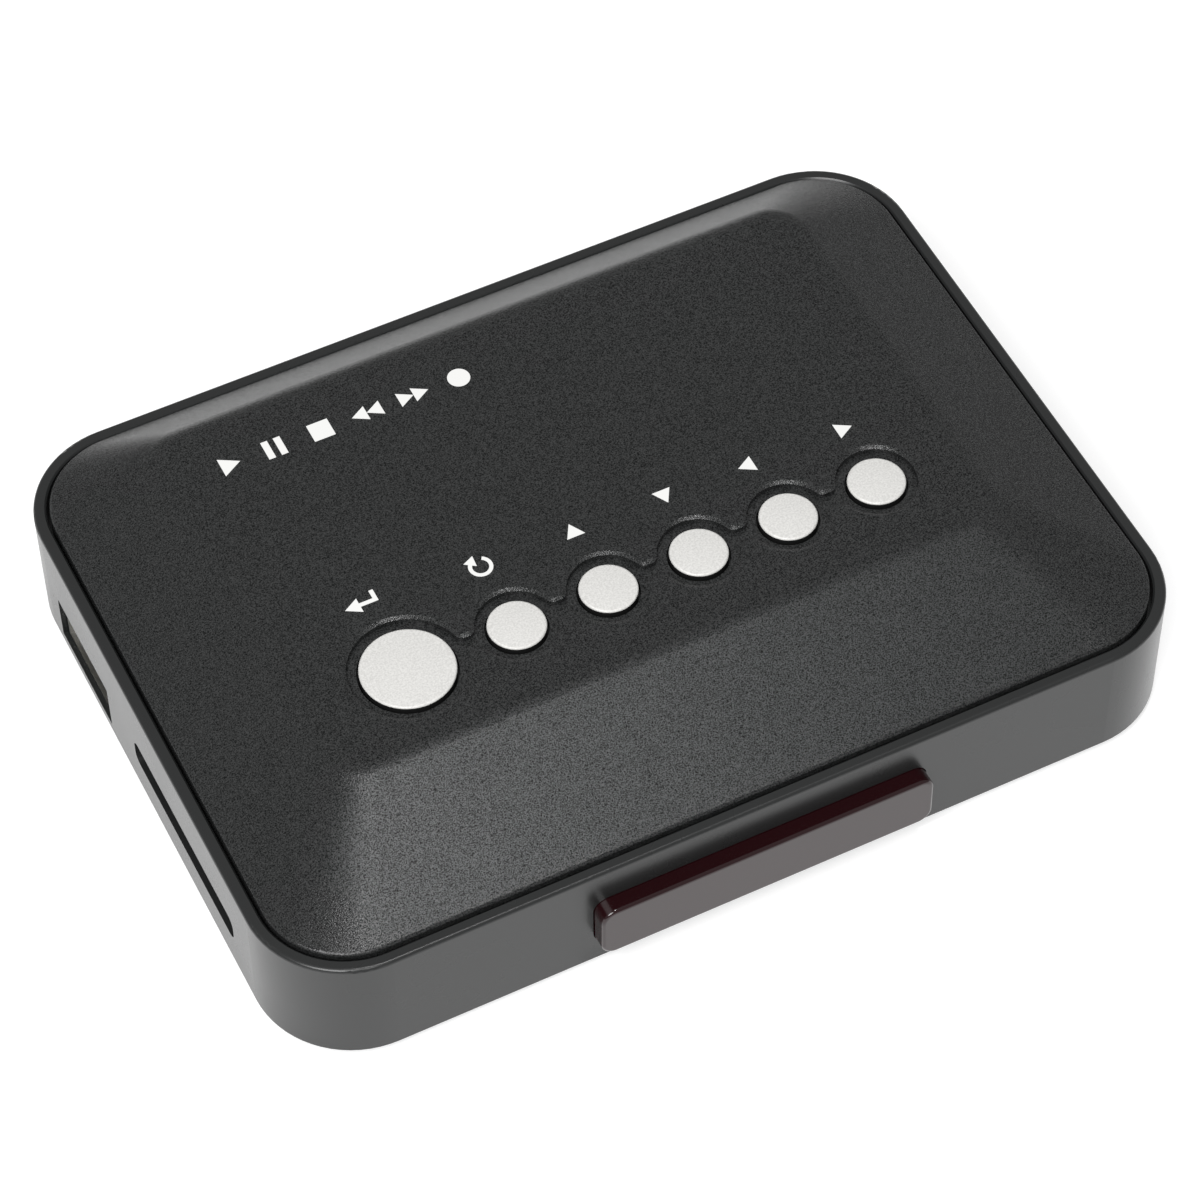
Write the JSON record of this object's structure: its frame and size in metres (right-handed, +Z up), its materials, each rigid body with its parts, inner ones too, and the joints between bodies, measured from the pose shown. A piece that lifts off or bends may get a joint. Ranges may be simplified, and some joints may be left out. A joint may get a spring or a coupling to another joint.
{
  "type": "media player",
  "caption": "Compact flat media player with sloped inset cover, push buttons, remote-control window, USB and card slots.",
  "frame": {"origin": "centre of the footprint, on the surface that the feet stand on", "axes": "+X to the right along the long side, -Y the front with the remote-control window, +Z up"},
  "size_m": [0.108, 0.081, 0.0221],
  "materials": {
    "case_plastic": "moulded ABS, satin black",
    "cover_plastic": "moulded ABS, fine sand texture, black",
    "red_window": "dark red clear acrylic",
    "silver_button": "silver paint on ABS",
    "rubber": "matt",
    "zinc_steel": "zinc plated",
    "circuit_board": "green solder mask",
    "black_moulding": "black glass-filled moulding",
    "tin_plate": "tin-plated sheet",
    "gold_contact": "gold plated",
    "dark_resin": "infrared-passing epoxy",
    "lamp_resin": "tinted clear epoxy",
    "chip_resin": "moulded epoxy",
    "heatsink_aluminium": "black anodised",
    "ferrite": "pressed ferrite",
    "can_aluminium": "drawn can",
    "ceramic": "ceramic"
  },
  "bodies": {
    "case": {"lower_case": "case_plastic", "top_cover": "cover_plastic", "ir_window": "red_window", "rubber_feet": "rubber", "case_screws": "zinc_steel", "board_screws": "zinc_steel", "key_board_screws": "zinc_steel", "main_board": "circuit_board", "key_board": "circuit_board", "switch_bodies": "black_moulding", "switch_plates": "tin_plate", "switch_terminals": "tin_plate", "header_socket": "black_moulding", "header_strip": "black_moulding", "header_pins": "gold_contact", "usb_shell": "tin_plate", "usb_insert": "black_moulding", "usb_contacts": "gold_contact", "card_tray": "black_moulding", "card_cover": "tin_plate", "card_contacts": "gold_contact", "hdmi_shell": "tin_plate", "hdmi_insert": "black_moulding", "hdmi_contacts": "gold_contact", "av_socket": "black_moulding", "dc_socket": "black_moulding", "dc_socket_pin": "tin_plate", "ir_receiver": "dark_resin", "led_holders": "black_moulding", "status_leds": "lamp_resin", "processor": "chip_resin", "heatsink": "heatsink_aluminium", "memory_chips": "chip_resin", "memory_leads": "tin_plate", "flash_chip": "chip_resin", "regulators": "chip_resin", "inductors": "ferrite", "capacitor_bases": "black_moulding", "capacitor_cans": "can_aluminium", "crystal": "tin_plate", "ceramic_capacitors": "ceramic", "chip_resistors": "chip_resin"},
    "enter_key": {"enter_button": "silver_button", "enter_plunger": "black_moulding"},
    "return_key": {"return_button": "silver_button", "return_plunger": "black_moulding"},
    "up_key": {"up_button": "silver_button", "up_plunger": "black_moulding"},
    "down_key": {"down_button": "silver_button", "down_plunger": "black_moulding"},
    "left_key": {"left_button": "silver_button", "left_plunger": "black_moulding"},
    "right_key": {"right_button": "silver_button", "right_plunger": "black_moulding"}
  },
  "joints": [
    {"name": "enter_press", "type": "slide", "parent": "case", "child": "enter_key", "axis": [0, 0, -1], "range_m": [0, 0.0003], "stiffness_N_per_m": 800},
    {"name": "return_press", "type": "slide", "parent": "case", "child": "return_key", "axis": [0, 0, -1], "range_m": [0, 0.0003], "stiffness_N_per_m": 800},
    {"name": "up_press", "type": "slide", "parent": "case", "child": "up_key", "axis": [0, 0, -1], "range_m": [0, 0.0003], "stiffness_N_per_m": 800},
    {"name": "down_press", "type": "slide", "parent": "case", "child": "down_key", "axis": [0, 0, -1], "range_m": [0, 0.0003], "stiffness_N_per_m": 800},
    {"name": "left_press", "type": "slide", "parent": "case", "child": "left_key", "axis": [0, 0, -1], "range_m": [0, 0.0003], "stiffness_N_per_m": 800},
    {"name": "right_press", "type": "slide", "parent": "case", "child": "right_key", "axis": [0, 0, -1], "range_m": [0, 0.0003], "stiffness_N_per_m": 800}
  ]
}
